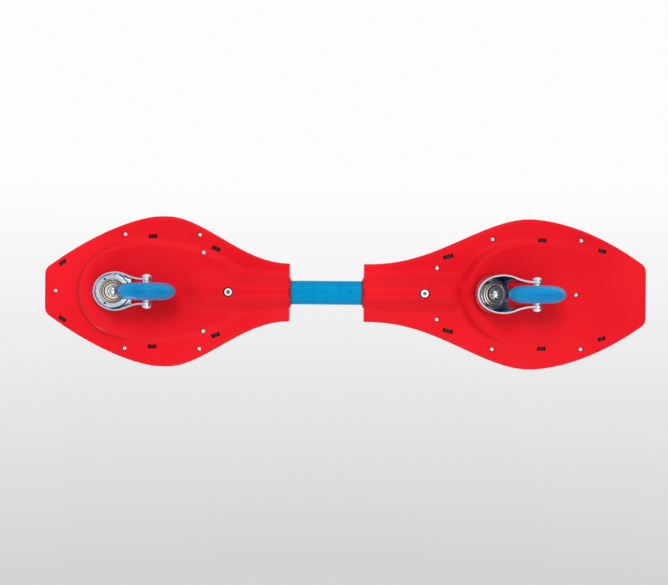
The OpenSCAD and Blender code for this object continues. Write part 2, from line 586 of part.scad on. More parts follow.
module fork_shell() difference() {
    intersection() {
        fork_plan(0, -axle_drop - leg_end_r - eps, axle_drop + leg_end_r + eps + fork_t);
        translate([0, fork_r + eps, 0]) rotate([90, 0, 0]) linear_extrude(2 * fork_r + 2 * eps) fork_side();
    }
    fork_plan(fork_t, -axle_drop - leg_end_r - 3 * eps, axle_drop + leg_end_r + 3 * eps);
    translate([0, 0, -eps]) cylinder(h = fork_t + 2 * eps, d = kingpin_d + 2 * free);
    for (side = [-1, 1]) translate([10, side * 16.5, -eps]) cylinder(h = fork_t + 2 * eps, d = 3);
    translate([axle_at[0], 0, axle_at[1]]) rotate([90, 0, 0])
        translate([0, 0, -fork_r]) cylinder(h = 2 * fork_r, d = axle_d + 2 * slip);
}

// Axle and wheel, about the axle
head_r = axle_d * 0.81;
cap_h = 5;
spacer_t = 1.2;
socket_h = 2.6;
bearing_in = bearing_d / 2;
bearing_face = wheel_w / 2 - 0.5;
bearing_mid = bearing_face - bearing_w / 2;
wheel_ball_d = 3.9;
race_r = (bearing_d + axle_d) / 4;
module dome_cap(r, l) intersection() {
    cylinder(h = l, r = r);
    translate([0, 0, l - r * 1.25]) sphere(r = r * 1.25, $fn = 64);
}
module axle_bolt(h) color([0.85, 0.85, 0.87]) axle_frame(h) difference() {
    union() {
        translate([0, 0, -leg_y - cap_h + 1.2]) cylinder(h = 2 * leg_y + cap_h + 1, d = axle_d - slip);
        translate([0, 0, leg_y + slip]) dome_cap(head_r, cap_h * 1.2);
    }
    translate([0, 0, leg_y + cap_h * 1.2 - socket_h]) cylinder(h = socket_h + eps, d = axle_d * 0.6, $fn = 6);
}
module axle_nut(h) color([0.85, 0.85, 0.87]) axle_frame(h) mirror([0, 0, 1]) difference() {
    translate([0, 0, leg_y + slip]) dome_cap(head_r, cap_h * 1.2);
    translate([0, 0, leg_y - eps]) cylinder(h = cap_h + slip, d = axle_d + slip);
}
module both_sides() {
    children();
    mirror([0, 0, 1]) children();
}
module axle_spacers(h) color([0.75, 0.76, 0.78]) axle_frame(h) both_sides()
    translate([0, 0, bearing_face + slip])
        ring(axle_d / 2 + slip, axle_d / 2 + spacer_t, leg_y - fork_t - bearing_face - 2 * slip);
module bearing_spacer(h) color([0.70, 0.71, 0.73]) axle_frame(h)
    translate([0, 0, -bearing_mid + bearing_w / 2 + slip])
        ring(axle_d / 2 + slip, axle_d / 2 + spacer_t, 2 * (bearing_mid - bearing_w / 2 - slip));
module race_ring(r_in, r_out) rotate_extrude($fn = 96) difference() {
    translate([r_in, -bearing_w / 2]) square([r_out - r_in, bearing_w]);
    translate([race_r, 0]) circle(d = wheel_ball_d + 2 * ball_gap, $fn = 48);
}
module bearing_inner_rings(h) color([0.70, 0.71, 0.73]) axle_frame(h) both_sides()
    translate([0, 0, bearing_mid]) race_ring(axle_d / 2 + slip, race_r - 1.4);
module bearing_outer_rings(h) color([0.70, 0.71, 0.73]) axle_frame(h) both_sides()
    translate([0, 0, bearing_mid]) race_ring(race_r + 1.4, bearing_in - slip);
module bearing_balls(h) color([0.80, 0.80, 0.82]) axle_frame(h) both_sides()
    ball_ring(7, race_r, bearing_mid, wheel_ball_d);
module bearing_shields(h) color([0.60, 0.60, 0.62]) axle_frame(h) both_sides()
    translate([0, 0, bearing_face - 0.5]) ring(race_r - 1.2, race_r + 1.3, 0.4);
core_r = 23;
core_rim = 4;
module wheel_core(h) color([0.85, 0.86, 0.88]) axle_frame(h) difference() {
    rotate_extrude($fn = 96) difference() {
        translate([bearing_in - 2.2, -wheel_w / 2 + 0.4]) square([core_r - bearing_in + 2.2, wheel_w - 0.8]);
        for (side = [-1, 1]) translate([0, side * bearing_mid - bearing_w / 2 - (side < 0 ? 2 : 0)])
            square([bearing_in, bearing_w + 2]);
    }
    for (i = [0:5], side = [-1, 1]) rotate(i * 60 + 30) translate([(bearing_in + core_r) / 2 + 0.4, 0, side * wheel_w / 2])
        cylinder(h = wheel_w * 0.6, d = core_r - bearing_in - 4.5, center = true);
}
tread_land = 0.8;
crown_w = wheel_w / 2;
crown_r = 18;
function tyre_half(r) = crown_w * sqrt(max(0, 1 - pow((r - crown_r) / (wheel_r - crown_r), 2)));
function tyre_side(side) = [for (i = [0:14])
    let (a = i * 90 / 14, r = lerp(core_r + 1, wheel_r, sin(a)))
    [r, side * max(tread_land, tyre_half(r))]];
function reversed(list) = [for (i = [len(list) - 1:-1:0]) list[i]];
module tyre(h) color([0.10, 0.33, 0.68]) axle_frame(h) rotate_extrude($fn = 128)
    polygon(concat([[core_r + slip, 1 - tyre_half(core_r + 1)]], tyre_side(-1), reversed(tyre_side(1)),
                   [[core_r + slip, tyre_half(core_r + 1) - 1]]));

pivot_tube();
tube_sleeve();
seal_rings();
torsion_bar();
deck_body(0);  // front_deck_body
deck_body(1);  // rear_deck_body
traction_plate(0);  // front_traction_plate
traction_plate(1);  // rear_traction_plate
plate_screws(0);  // front_plate_screws
plate_screws(1);  // rear_plate_screws
neck_bush(0);  // front_neck_bush
neck_bush(1);  // rear_neck_bush
anchor_block(0);  // front_anchor_block
anchor_block(1);  // rear_anchor_block
neck_bolt(0);  // front_neck_bolt
neck_bolt(1);  // rear_neck_bolt
neck_washer(0);  // front_neck_washer
neck_washer(1);  // rear_neck_washer
seat_plate(0);  // front_seat_plate
seat_plate(1);  // rear_seat_plate
kingpin(0);  // front_kingpin
kingpin(1);  // rear_kingpin
race_cup(0);  // front_race_cup
race_cup(1);  // rear_race_cup
kingpin_washer(0);  // front_kingpin_washer
kingpin_washer(1);  // rear_kingpin_washer
kingpin_nut(0);  // front_kingpin_nut
kingpin_nut(1);  // rear_kingpin_nut
fork(0);  // front_fork
fork(1);  // rear_fork
upper_balls(0);  // front_upper_balls
upper_balls(1);  // rear_upper_balls
lower_balls(0);  // front_lower_balls
lower_balls(1);  // rear_lower_balls
axle_bolt(0);  // front_axle_bolt
axle_bolt(1);  // rear_axle_bolt
axle_nut(0);  // front_axle_nut
axle_nut(1);  // rear_axle_nut
axle_spacers(0);  // front_axle_spacers
axle_spacers(1);  // rear_axle_spacers
bearing_inner_rings(0);  // front_bearing_inner_rings
bearing_inner_rings(1);  // rear_bearing_inner_rings
bearing_spacer(0);  // front_bearing_spacer
bearing_spacer(1);  // rear_bearing_spacer
bearing_balls(0);  // front_bearing_balls
bearing_balls(1);  // rear_bearing_balls
bearing_outer_rings(0);  // front_bearing_outer_rings
bearing_outer_rings(1);  // rear_bearing_outer_rings
bearing_shields(0);  // front_bearing_shields
bearing_shields(1);  // rear_bearing_shields
wheel_core(0);  // front_wheel_core
wheel_core(1);  // rear_wheel_core
tyre(0);  // front_tyre
tyre(1);  // rear_tyre
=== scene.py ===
import json
import math

import bmesh
import bpy
from mathutils import Matrix, Vector
from mathutils.bvhtree import BVHTree


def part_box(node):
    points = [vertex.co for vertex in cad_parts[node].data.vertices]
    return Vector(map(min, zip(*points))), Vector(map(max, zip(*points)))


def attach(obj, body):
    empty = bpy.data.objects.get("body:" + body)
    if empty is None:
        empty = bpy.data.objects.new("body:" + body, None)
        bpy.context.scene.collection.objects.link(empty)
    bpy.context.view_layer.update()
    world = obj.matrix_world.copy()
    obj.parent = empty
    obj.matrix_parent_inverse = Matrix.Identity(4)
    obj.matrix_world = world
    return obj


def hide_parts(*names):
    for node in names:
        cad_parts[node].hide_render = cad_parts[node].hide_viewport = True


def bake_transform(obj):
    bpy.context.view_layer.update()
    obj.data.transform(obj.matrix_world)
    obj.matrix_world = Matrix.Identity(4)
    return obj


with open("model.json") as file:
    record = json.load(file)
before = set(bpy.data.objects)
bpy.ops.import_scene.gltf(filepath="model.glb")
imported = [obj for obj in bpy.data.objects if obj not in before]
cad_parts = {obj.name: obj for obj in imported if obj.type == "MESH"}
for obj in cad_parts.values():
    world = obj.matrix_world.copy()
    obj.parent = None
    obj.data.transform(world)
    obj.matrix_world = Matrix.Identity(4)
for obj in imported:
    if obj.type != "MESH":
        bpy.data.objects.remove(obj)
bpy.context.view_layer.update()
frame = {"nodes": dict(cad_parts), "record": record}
nodes = frame["nodes"]
behaviour = frame["record"]["behaviour"]
body_of = {name: body for body, names in behaviour["bodies"].items() for name in names}
slot_of = {part["node"]: part["material_slot"] for part in frame["record"]["subparts"]}

ENDS = ("front", "rear")
swivel_of = {
    end: next(joint for joint in behaviour["joints"] if joint["name"] == end + "_swivel")
    for end in ENDS
}

# Lengths are in metres and angles in degrees, but the camera's sensor is in millimetres
MM = 0.001
# Corners closer than this are one corner
WELD = 0.002 * MM

# Angle between two faces above which their edge stays crisp
CRISP = 32
CRISP_DECK = 48
CRISP_SCREW = 35
CRISP_CUP = 50
CRISP_STUD = 60

# Dimples of the sleeve: rows round it, the pitch along it, and radii from the floor to the rim
DIMPLE_ROWS = 12
DIMPLE_PITCH = 16.8 * MM
SLEEVE_RADIUS = 16.7 * MM
DIMPLE_FLOOR = 1.0 * MM
DIMPLE_SHADE = 1.2 * MM
DIMPLE_RIM = 2.2 * MM

# Rings round a swivel axis: the radii where each starts, is full, begins to fade and ends
# A painted dark reflection in the corner between the top and the wall of each fork
CORNER_REFLECTION_RING = (22.4 * MM, 23.1 * MM, 24.5 * MM, 24.8 * MM)
# Painted shade on each kingpin washer, round the nut's edge and at its own rim
WASHER_NUT_SHADE = (6.6 * MM, 6.9 * MM, 7.5 * MM, 7.8 * MM)
WASHER_RIM_SHADE = (10.4 * MM, 10.9 * MM, 12.0 * MM, 12.5 * MM)
# Distances along the swivel axis between which the painted dark reflection in the fork's corner fades
REFLECTION_FULL = 1.0 * MM
REFLECTION_GONE = 1.6 * MM

# Plate screws: shares of the head's radius, and heights above its lowest point
HEAD_DOME = ((0.55, 0), (0.80, 0.25 * MM), (0.95, 0.8 * MM), (1, 1.5 * MM), (1, 2.0 * MM))
CROSS_FLOOR = (0.30, 1.2 * MM)
CROSS_MOUTH = (0.42, 0.05 * MM)
CROSS_TIP = 1.4 * MM
CROSS_WAIST = 0.42
CROSS_ARM = 16
SCREW_SIDES = 24

# Race cups: distances in from the rim, and heights above the lowest face
CUP_EDGE = 1.9 * MM
CUP_FACE = (
    (0, CUP_EDGE), (0.35 * MM, 1.45 * MM), (1.1 * MM, 1.3 * MM), (1.5 * MM, 1.7 * MM),
    (2.2 * MM, 1.8 * MM), (2.7 * MM, 1.3 * MM), (3.2 * MM, 0.3 * MM), (3.6 * MM, 0),
    (4.4 * MM, 0), (4.8 * MM, 0.4 * MM), (5.3 * MM, 0.4 * MM), (5.7 * MM, 0),
)
CUP_GROOVES = (1.5 * MM, 2.2 * MM, 4.8 * MM, 5.3 * MM)
CUP_WALL = 1.5 * MM
CUP_FLOOR = 1.6 * MM
CUP_SLOPE = 0.3 * MM
CUP_SIDES = 96
# How dark the painted shade in the cup's grooves is, and how near a groove a corner must be to get it
GROOVE_SHADE_SHARE = 0.9
GROOVE_REACH = 0.1 * MM

# Grip studs: the profile is the radius and height of each ring
STUD_PITCH = 9.2 * MM
STUD_ROW_SHARE = 0.866
STUD_MARGIN = 6 * MM
STUD_CLEARANCE = 7 * MM
STUD_MAX_RISE = 6 * MM
STUD_PROFILE = ((1.9 * MM, -0.3 * MM), (1.7 * MM, 0.3 * MM), (1.1 * MM, 0.7 * MM), (0, 0.8 * MM))
STUD_SIDES = 8
ABOVE_BOARD = 0.2

# How many short lengths the torsion bar is cut into
BAR_LENGTHS = 30

FLOOR_HALF = 6
FLOOR_DROP = 0.5 * MM

# Camera: its place under the board, the width that it sees at the rim, and its turn
RIM_HEIGHT = 0.1164
CAMERA_X = 0.0166
CAMERA_Y = 0.0005
CAMERA_DISTANCE = 1.2
SEEN_WIDTH = 0.963
SENSOR_WIDTH = 36
CAMERA_ROLL = 0.475


class Value:
    """A number that varies over a surface, and sums with it."""

    def __init__(self, graph, socket):
        self.graph = graph
        self.socket = socket

    def maths(self, operation, other):
        inputs = {0: self, 1: other}
        return self.graph.value("ShaderNodeMath", 0, {"operation": operation}, inputs)

    def __add__(self, other):
        return self.maths("ADD", other)

    __radd__ = __add__

    def __sub__(self, other):
        return self.maths("SUBTRACT", other)

    def __mul__(self, other):
        return self.maths("MULTIPLY", other)

    def power(self, other):
        return self.maths("POWER", other)

    def modulo(self, other):
        return self.maths("FLOORED_MODULO", other)

    def turn_from(self, other):
        return self.maths("ARCTAN2", other)

    def most(self, other):
        return self.maths("MAXIMUM", other)

    def least(self, other):
        return self.maths("MINIMUM", other)


class Graph:
    """The nodes of a material or of the world."""

    def __init__(self, tree, coordinates):
        self.tree = tree
        self.tree.nodes.clear()
        self.place = self.add("ShaderNodeTexCoord").outputs[coordinates]

    def add(self, kind, settings=None, inputs=None):
        node = self.tree.nodes.new(kind)
        for key, setting in (settings or {}).items():
            setattr(node, key, setting)
        for key, value in (inputs or {}).items():
            self.feed(node.inputs[key], value)
        return node

    def feed(self, socket, value):
        if isinstance(value, Value):
            value = value.socket
        if isinstance(value, bpy.types.NodeSocket):
            self.tree.links.new(value, socket)
        elif socket.type == "RGBA" and len(value) == 3:
            socket.default_value = (*value, 1)
        else:
            socket.default_value = value

    def value(self, kind, output, settings=None, inputs=None):
        return Value(self, self.add(kind, settings, inputs).outputs[output])

    def axis(self, name):
        return self.value("ShaderNodeSeparateXYZ", name, inputs={0: self.place})

    def span(self, value, low, high, to_low=0.0, to_high=1.0):
        """Runs from to_low to to_high as the value goes from low to high, and stops there."""
        inputs = {0: value, 1: low, 2: high, 3: to_low, 4: to_high}
        return self.value("ShaderNodeMapRange", 0, inputs=inputs)

    def ramp(self, value, stops):
        node = self.add("ShaderNodeValToRGB", inputs={0: value})
        elements = node.color_ramp.elements
        while len(elements) < len(stops):
            elements.new(0.5)
        for element, (where, colour) in zip(elements, stops):
            element.position = where
            element.color = (*colour, 1)
        return node.outputs[0]

    def light_path(self, ray):
        return self.value("ShaderNodeLightPath", ray)

    def mix_shaders(self, share, first, second):
        return self.add("ShaderNodeMixShader", inputs={0: share, 1: first, 2: second}).outputs[0]


class Finish(Graph):
    """A material, patterned by the place on the object."""

    def __init__(self, name, **fixed):
        self.material = bpy.data.materials.new(name)
        self.material.use_nodes = True
        super().__init__(self.material.node_tree, "Object")
        self.shader = self.add("ShaderNodeBsdfPrincipled")
        self.out = self.add("ShaderNodeOutputMaterial", inputs={0: self.shader.outputs[0]})
        self.set(**fixed)

    def set(self, **values):
        for key, value in values.items():
            self.feed(self.shader.inputs[key.replace("_", " ")], value)
        return self.material

    def noise(self, scale, detail=3, stretch=None):
        place = self.place
        if stretch:
            mapping = self.add("ShaderNodeMapping", inputs={"Vector": place, "Scale": stretch})
            place = mapping.outputs[0]
        inputs = {"Vector": place, "Scale": scale, "Detail": detail}
        return self.value("ShaderNodeTexNoise", "Fac", inputs=inputs)

    def own(self, name):
        """A number that the mesh carries at its corners."""
        return self.value("ShaderNodeAttribute", "Fac", {"attribute_name": name})

    def mottle(self, value, low, high):
        return self.ramp(value, ((0.3, low), (0.7, high)))

    def blend(self, share, first, second):
        node = self.add("ShaderNodeMix", {"data_type": "RGBA"}, {0: share, 6: first, 7: second})
        return node.outputs[2]

    def bump(self, height, distance, strength):
        inputs = {"Height": height, "Distance": distance, "Strength": strength}
        self.set(Normal=self.add("ShaderNodeBump", inputs=inputs).outputs[0])

    def vector_maths(self, operation, *inputs):
        return self.add("ShaderNodeVectorMath", {"operation": operation}, dict(enumerate(inputs))).outputs

    def off_axis(self, joint):
        """The distance from a joint's axis, and how far along it from the joint's place."""
        off = self.vector_maths("SUBTRACT", self.place, joint["pos_m"])[0]
        along = Value(self, self.vector_maths("DOT_PRODUCT", off, joint["axis"])["Value"])
        whole = Value(self, self.vector_maths("LENGTH", off)["Value"])
        return (whole * whole - along * along).most(0.0).power(0.5), along

    def ring(self, radius, radii):
        start, full, fade, end = radii
        return self.span(radius, start, full) * self.span(radius, end, fade)

    def shade_corners(self, tone, reach, dark, unshaded=0.80, fully_shaded=0.35):
        """Darkens a colour with painted shade in corners, by how open it is to what lies within reach."""
        openness = self.value("ShaderNodeAmbientOcclusion", "AO", {"samples": 6}, {"Distance": reach})
        return self.blend(self.span(openness, unshaded, fully_shaded), tone, dark)


# Moulded and cast finishes
def moulded_red():
    made = Finish("moulded red", Specular_IOR_Level=0.09)
    cloud = made.noise(9, 4)
    grain = made.noise(1400, 2)
    scuff = made.span(made.noise(240, 5, stretch=(1, 0.4, 1)), 0.62, 0.74)
    tone = made.mottle(cloud, (0.78, 0.006, 0.015), (0.86, 0.010, 0.020))
    tone = made.blend(scuff * 0.08, tone, (0.90, 0.09, 0.10))
    # Painted shade in corners, holes and windows
    tone = made.shade_corners(tone, 3.5 * MM, (0.03, 0.001, 0.002))
    made.bump(grain + cloud * 0.5, 0.12 * MM, 0.5)
    return made.set(Base_Color=tone, Roughness=0.36 + cloud * 0.10 + scuff * 0.12)


def grip_black():
    made = Finish("grip black", Specular_IOR_Level=0.4)
    dust = made.span(made.noise(55, 6), 0.5, 0.8)
    tone = made.blend(dust * 0.35, (0.016, 0.016, 0.018), (0.075, 0.072, 0.068))
    # Painted shade in corners and deep in the windows
    tone = made.shade_corners(tone, 6 * MM, (0.002, 0.002, 0.002), unshaded=0.9, fully_shaded=0.6)
    made.bump(made.noise(2200, 2), 0.2 * MM, 0.7)
    return made.set(Base_Color=tone, Roughness=0.62 + dust * 0.2)


# The blue of the wheels and the sleeve: the finish so far, its colour and its roughness
def cast_blue(name, low, high, gloss):
    made = Finish(name, Specular_IOR_Level=gloss)
    cloud = made.noise(28, 4)
    scuff = made.span(made.noise(420, 4), 0.6, 0.78)
    tone = made.blend(scuff * 0.18, made.mottle(cloud, low, high), (0.015, 0.45, 0.80))
    return made, tone, 0.33 + scuff * 0.2 + cloud * 0.08


def wheel_blue():
    made, tone, roughness = cast_blue("wheel blue", (0.0003, 0.33, 0.74), (0.0008, 0.41, 0.86), 0.22)
    patchy = made.span(made.noise(300, 4), 0.35, 0.65)
    worn = made.span(made.own("reach"), 0.955, 0.995) * patchy
    tone = made.blend(worn * 0.25, tone, (0.03, 0.46, 0.80))
    made.bump(made.noise(900, 3), 0.1 * MM, 0.5)
    return made.set(Base_Color=tone, Roughness=roughness)


def sleeve_blue():
    made, tone, roughness = cast_blue("sleeve blue", (0.0005, 0.265, 0.55), (0.001, 0.315, 0.63), 0.03)
    low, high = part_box("tube_sleeve")
    middle_x = (low[0] + high[0]) / 2
    middle_z = (low[2] + high[2]) / 2
    row_turn = 2 * math.pi / DIMPLE_ROWS
    along = (made.axis("X") - middle_x + DIMPLE_PITCH / 2).modulo(DIMPLE_PITCH) - DIMPLE_PITCH / 2
    turn = made.axis("Y").turn_from(made.axis("Z") - middle_z)
    around = ((turn + row_turn / 2).modulo(row_turn) - row_turn / 2) * SLEEVE_RADIUS
    off_dimple = (along * along + around * around).power(0.5)
    hollow = made.span(off_dimple, DIMPLE_FLOOR, DIMPLE_RIM)
    made.bump(hollow + made.noise(900, 3) * 0.1, 0.5 * MM, 0.9)
    shade = made.span(off_dimple, DIMPLE_RIM, DIMPLE_SHADE)
    tone = made.blend(shade * 0.55, tone, (0.001, 0.20, 0.47))
    return made.set(Base_Color=tone, Roughness=roughness)


def seal_black():
    made = Finish("seal black")
    made.bump(made.noise(1500, 2), 0.1 * MM, 0.5)
    tone = made.mottle(made.noise(90), (0.010, 0.010, 0.011), (0.03, 0.03, 0.032))
    return made.set(Base_Color=tone, Roughness=0.6 + made.noise(60) * 0.15)


def core_white():
    made = Finish("core white")
    made.bump(made.noise(1100), 0.1 * MM, 0.5)
    tone = made.mottle(made.noise(60), (0.62, 0.63, 0.65), (0.74, 0.75, 0.77))
    return made.set(Base_Color=tone, Roughness=0.36 + made.noise(90) * 0.12)


# Metal finishes
def metal(name, colour, roughness, grain=(1, 1, 1), scratch=0.25, metallic=1.0, reach=4 * MM,
          corner_shade=(0.02, 0.02, 0.022), shaded_grooves=False):
    made = Finish(name, Metallic=metallic)
    lines = made.noise(260, 6, stretch=grain)
    spots = made.span(made.noise(70, 5), 0.55, 0.8)
    dull = tuple(part * 0.72 for part in colour)
    # Painted shade darkens the colour in corners and recesses, as far as reach
    tone = made.shade_corners(made.blend(spots * 0.5, colour, dull), reach, corner_shade)
    # Painted shade in the grooves that the mesh marks
    if shaded_grooves:
        tone = made.blend(made.own("groove"), tone, (0.05, 0.04, 0.03))
    made.bump(lines, 0.04 * MM, scratch)
    return made.set(Base_Color=tone, Roughness=roughness + lines * 0.10 + spots * 0.14)


# Plated sheet of the forks, with a dark reflection painted in the corner between its top and its wall, and
# navy shade painted in its corners
def fork_plate():
    made = Finish("fork plate", Metallic=0.93)
    spots = made.span(made.noise(70, 5), 0.55, 0.8)
    tone = made.blend(spots * 0.3, (0.95, 0.98, 1.0), (0.70, 0.76, 0.86))
    patchy = made.span(made.noise(75, 2), 0.34, 0.48)
    for swivel in swivel_of.values():
        radius, along = made.off_axis(swivel)
        # Painted dark reflection in the corner between the top and the wall, broken into patches
        corner_reflection = made.ring(radius, CORNER_REFLECTION_RING) * made.span(along, REFLECTION_GONE, REFLECTION_FULL)
        tone = made.blend((corner_reflection * patchy).least(0.92), tone, (0.008, 0.02, 0.04))
    # Painted navy shade inside the fork, over a wide reach
    tone = made.shade_corners(tone, 10 * MM, (0.012, 0.04, 0.14), unshaded=0.72, fully_shaded=0.38)
    made.bump(made.noise(260, 6), 0.04 * MM, 0.15)
    return made.set(Base_Color=tone, Roughness=0.06 + spots * 0.10)


def ringed_washer():
    made = Finish("ringed washer", Metallic=0.85)
    tone = made.mottle(made.noise(300), (0.56, 0.48, 0.37), (0.66, 0.58, 0.46))
    for swivel in swivel_of.values():
        radius = made.off_axis(swivel)[0]
        # Painted shade in two rings, round the nut's edge and at the washer's rim
        dark = made.ring(radius, WASHER_NUT_SHADE).most(made.ring(radius, WASHER_RIM_SHADE))
        tone = made.blend(dark * 0.85, tone, (0.015, 0.015, 0.02))
    tone = made.shade_corners(tone, 4 * MM, (0.01, 0.012, 0.02))
    made.bump(made.noise(400, 3), 0.04 * MM, 0.3)
    return made.set(Base_Color=tone, Roughness=0.18 + made.noise(120) * 0.08)


# Colours of the painted shade in corners
NAVY_CORNER_SHADE = (0.008, 0.015, 0.05)
DARK_CORNER_SHADE = (0.01, 0.012, 0.02)
ALONG_X = (0.1, 1, 1)

red = moulded_red()
grip = grip_black()
screw_zinc = metal("screw zinc", (0.95, 0.94, 0.92), 0.2, metallic=0.6, reach=0.6 * MM)
cup_gold = metal("gold zinc", (0.86, 0.76, 0.62), 0.15, metallic=0.7, reach=2 * MM, corner_shade=DARK_CORNER_SHADE,
                 shaded_grooves=True)

finish_of_slot = {
    "deck": red,
    "bush": red,
    "tread": grip,
    "wheel": wheel_blue(),
    "sleeve": sleeve_blue(),
    "seal": seal_black(),
    "core": core_white(),
    "bearing": metal("bearing steel", (0.62, 0.62, 0.63), 0.2),
    "screws": metal("zinc plate", (0.88, 0.87, 0.84), 0.22, metallic=0.8),
    "anchor": metal("cast alloy", (0.60, 0.61, 0.62), 0.42),
    "tube": metal("drawn tube", (0.60, 0.61, 0.63), 0.25, grain=ALONG_X),
    "spring": metal("spring steel", (0.16, 0.16, 0.17), 0.35, grain=ALONG_X),
    "plated": metal("plated steel", (0.90, 0.93, 0.96), 0.10, scratch=0.15, metallic=0.7, reach=2.5 * MM,
                    corner_shade=NAVY_CORNER_SHADE),
}
# Pieces that look unlike the rest of their slot, by their name without the end of the board
finish_of_kind = {
    "fork": fork_plate(),
    # Long reaches, so that painted shade darkens the seat plate in its gap over the fork and the neck bolt's
    # socket
    "seat_plate": metal("shaded plate", (0.80, 0.82, 0.85), 0.3, reach=12 * MM),
    "neck_bolt": metal("bolt zinc", (0.92, 0.91, 0.88), 0.2, metallic=0.7, reach=6 * MM),
    "axle_spacers": screw_zinc,
    "kingpin_washer": ringed_washer(),
    "kingpin_nut": metal("nut zinc", (0.70, 0.70, 0.71), 0.16, metallic=0.9, reach=3 * MM, corner_shade=DARK_CORNER_SHADE),
}


# Pieces and their meshes
def add_piece(name, mesh, material):
    piece = bpy.data.objects.new(name, mesh)
    bpy.context.collection.objects.link(piece)
    mesh.materials.append(material)
    return piece


def stand_in(node, mesh, material):
    piece = add_piece(node + "_form", mesh, material)
    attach(piece, body_of[node])
    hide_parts(node)


def copied_form(name):
    form = bmesh.new()
    form.from_mesh(nodes[name].data)
    return form


def weld(form):
    bmesh.ops.remove_doubles(form, verts=form.verts, dist=WELD)


def shaded_mesh(form, name, crisp):
    """The form's mesh, with smooth curves, and crisp edges where it turns by more than crisp degrees."""
    for face in form.faces:
        face.smooth = True
    for edge in form.edges:
        edge.smooth = edge.calc_face_angle(math.pi) < math.radians(crisp)
    mesh = bpy.data.meshes.new(name)
    form.to_mesh(mesh)
    form.free()
    return mesh


def built_mesh(form, name, crisp):
    bmesh.ops.recalc_face_normals(form, faces=form.faces)
    return shaded_mesh(form, name, crisp)


def carry_over(name):
    """Copies a solid of the CAD model with better shading and its finish."""
    form = copied_form(name)
    weld(form)
    crisp = CRISP_DECK if name.endswith("deck_body") else CRISP
    mesh = shaded_mesh(form, name + "_form", crisp)
    if slot_of[name] == "wheel":
        mark_reach(mesh, *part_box(name))
    kind = name.split("_", 1)[1]
    stand_in(name, mesh, finish_of_kind.get(kind, finish_of_slot[slot_of[name]]))


def mark_reach(mesh, low, high):
    """Marks how far each corner of a tyre is from the axle, as a share of its radius."""
    radius = (high[0] - low[0]) / 2
    marks = mesh.attributes.new("reach", "FLOAT", "POINT").data
    for vert, mark in zip(mesh.vertices, marks):
        x = vert.co.x - (low[0] + high[0]) / 2
        z = vert.co.z - (low[2] + high[2]) / 2
        mark.value = math.hypot(x, z) / radius


def loose_solids(name):
    """The corners of each separate solid of a node."""
    form = copied_form(name)
    weld(form)
    left = set(form.verts)
    solids = []
    while left:
        queue = [left.pop()]
        found = list(queue)
        while queue:
            for edge in queue.pop().link_edges:
                new = [vert for vert in edge.verts if vert in left]
                left.difference_update(new)
                queue.extend(new)
                found.extend(new)
        solids.append([vert.co.copy() for vert in found])
    form.free()
    return solids


def turned(form, rings, sides, place):
    """Adds a turned solid: each ring has a height, and a radius or a function of the angle."""
    loops = []
    for radius, height in rings:
        loop = []
        for side in range(1 if radius == 0 else sides):
            angle = 2 * math.pi * side / sides
            reach = radius(angle) if callable(radius) else radius
            corner = Vector((reach * math.cos(angle), reach * math.sin(angle), height))
            loop.append(form.verts.new(place @ corner))
        loops.append(loop)
    for one, two in zip(loops, loops[1:]):
        for side in range(sides):
            after = (side + 1) % sides
            if len(one) == 1:
                form.faces.new((one[0], two[side], two[after]))
            elif len(two) == 1:
                form.faces.new((one[side], two[0], one[after]))
            else:
                form.faces.new((one[side], two[side], two[after], one[after]))


def upright_at(point, way):
    """The frame whose origin is the point and whose Z axis is the way."""
    return Matrix.Translation(point) @ Vector(way).to_track_quat("Z", "Y").to_matrix().to_4x4()


# Torsion bar, cut into short lengths between its anchor blocks
def torsion_bar():
    name = "torsion_bar"
    start = Vector((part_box("front_anchor_block")[0][0], 0, 0))
    end = Vector((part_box("rear_anchor_block")[1][0], 0, 0))
    form = copied_form(name)
    for step in range(BAR_LENGTHS + 1):
        every = form.verts[:] + form.edges[:] + form.faces[:]
        cut = start.lerp(end, step / BAR_LENGTHS)
        bmesh.ops.bisect_plane(form, geom=every, plane_co=cut, plane_no=(1, 0, 0))
    mesh = built_mesh(form, name + "_form", CRISP)
    piece = add_piece(name + "_form", mesh, finish_of_slot[slot_of[name]])
    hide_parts(name)
    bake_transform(piece)


# Plate screws, pan heads with a cross recess
def cross(reach):
    """The radius of a cross at each angle: four arms, and a narrow waist between them."""
    def radius(angle):
        off_arm = abs((math.degrees(angle) + 45) % 90 - 45)
        return reach if off_arm < CROSS_ARM else reach * CROSS_WAIST
    return radius


def plate_screws(end):
    name = end + "_plate_screws"
    form = bmesh.new()
    for corners in loose_solids(name):
        low = Vector([min(corner[i] for corner in corners) for i in range(3)])
        high = Vector([max(corner[i] for corner in corners) for i in range(3)])
        middle = (low + high) / 2
        head = (high.x - low.x) / 2
        shank = min((corner.xy - middle.xy).length for corner in corners)
        length = high.z - low.z
        rings = [(0, CROSS_TIP)]
        rings += [(cross(head * share), height) for share, height in (CROSS_FLOOR, CROSS_MOUTH)]
        rings += [(head * share, height) for share, height in HEAD_DOME]
        rings += [(shank, HEAD_DOME[-1][1]), (shank, length), (0, length)]
        turned(form, rings, SCREW_SIDES, Matrix.Translation((middle.x, middle.y, low.z)))
    stand_in(name, built_mesh(form, name + "_form", CRISP_SCREW), screw_zinc)


